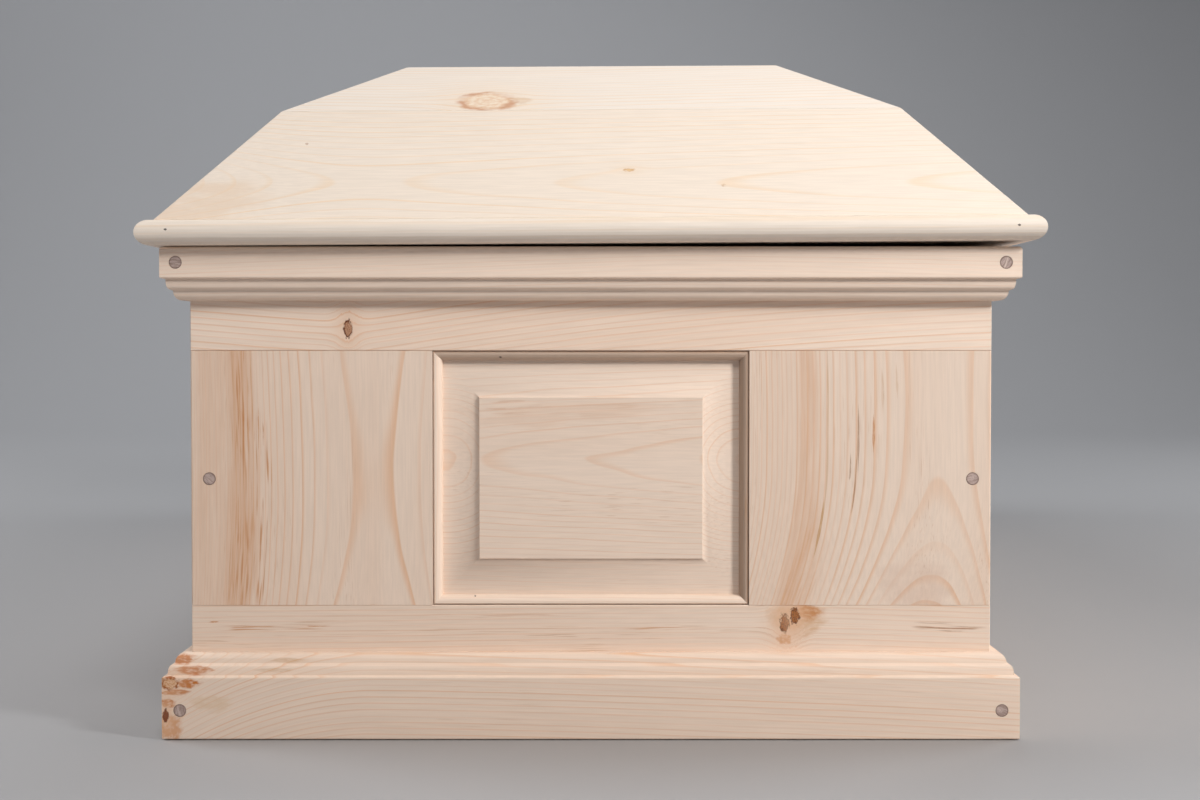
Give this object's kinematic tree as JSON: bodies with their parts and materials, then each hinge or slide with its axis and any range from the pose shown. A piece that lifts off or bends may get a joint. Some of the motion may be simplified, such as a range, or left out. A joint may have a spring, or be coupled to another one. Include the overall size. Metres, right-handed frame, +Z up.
{
  "type": "pine coffin",
  "caption": "Framed and panelled pine coffin with a moulded base and cornice, walnut corner pegs, and a loose hipped lid with a rounded edge; hollow and empty inside.",
  "frame": {"origin": "on the ground under the middle of the case", "axes": "+X across the case to the viewer's right at the front end, +Y along the case from the front end to the back end, +Z up"},
  "size_m": [0.6792, 2.1016, 0.5308],
  "materials": {
    "pine": "sanded and oiled, low satin, with fine grain, knots and resin streaks",
    "pale_pine": "sanded and oiled, low satin, paler and plainer boards",
    "walnut": "end grain, sanded flush and oiled"
  },
  "bodies": {
    "root": {"front_end_top_rail": "pine", "front_end_bottom_rail": "pine", "front_end_left_stile": "pine", "front_end_right_stile": "pine", "front_end_panel": "pine", "front_end_panel_bead": "pine", "back_end_top_rail": "pine", "back_end_bottom_rail": "pine", "back_end_left_stile": "pine", "back_end_right_stile": "pine", "back_end_panel": "pine", "back_end_panel_bead": "pine", "left_side_top_rail": "pine", "left_side_bottom_rail": "pine", "left_side_front_stile": "pine", "left_side_back_stile": "pine", "left_side_panel": "pine", "left_side_panel_bead": "pine", "right_side_top_rail": "pine", "right_side_bottom_rail": "pine", "right_side_front_stile": "pine", "right_side_back_stile": "pine", "right_side_panel": "pine", "right_side_panel_bead": "pine", "floor_board": "pine", "front_cornice": "pine", "right_cornice": "pine", "back_cornice": "pine", "left_cornice": "pine", "front_base": "pine", "right_base": "pine", "back_base": "pine", "left_base": "pine", "front_lid_edge": "pale_pine", "right_lid_edge": "pale_pine", "back_lid_edge": "pale_pine", "left_lid_edge": "pale_pine", "front_lid_lower_slope": "pale_pine", "right_lid_lower_slope": "pale_pine", "back_lid_lower_slope": "pale_pine", "left_lid_lower_slope": "pale_pine", "front_lid_upper_slope": "pale_pine", "right_lid_upper_slope": "pale_pine", "back_lid_upper_slope": "pale_pine", "left_lid_upper_slope": "pale_pine", "lid_top_board": "pale_pine", "front_left_cornice_peg": "walnut", "front_left_corner_peg": "walnut", "front_left_base_peg": "walnut", "front_right_cornice_peg": "walnut", "front_right_corner_peg": "walnut", "front_right_base_peg": "walnut", "back_left_cornice_peg": "walnut", "back_left_corner_peg": "walnut", "back_left_base_peg": "walnut", "back_right_cornice_peg": "walnut", "back_right_corner_peg": "walnut", "back_right_base_peg": "walnut"}
  },
  "joints": []
}
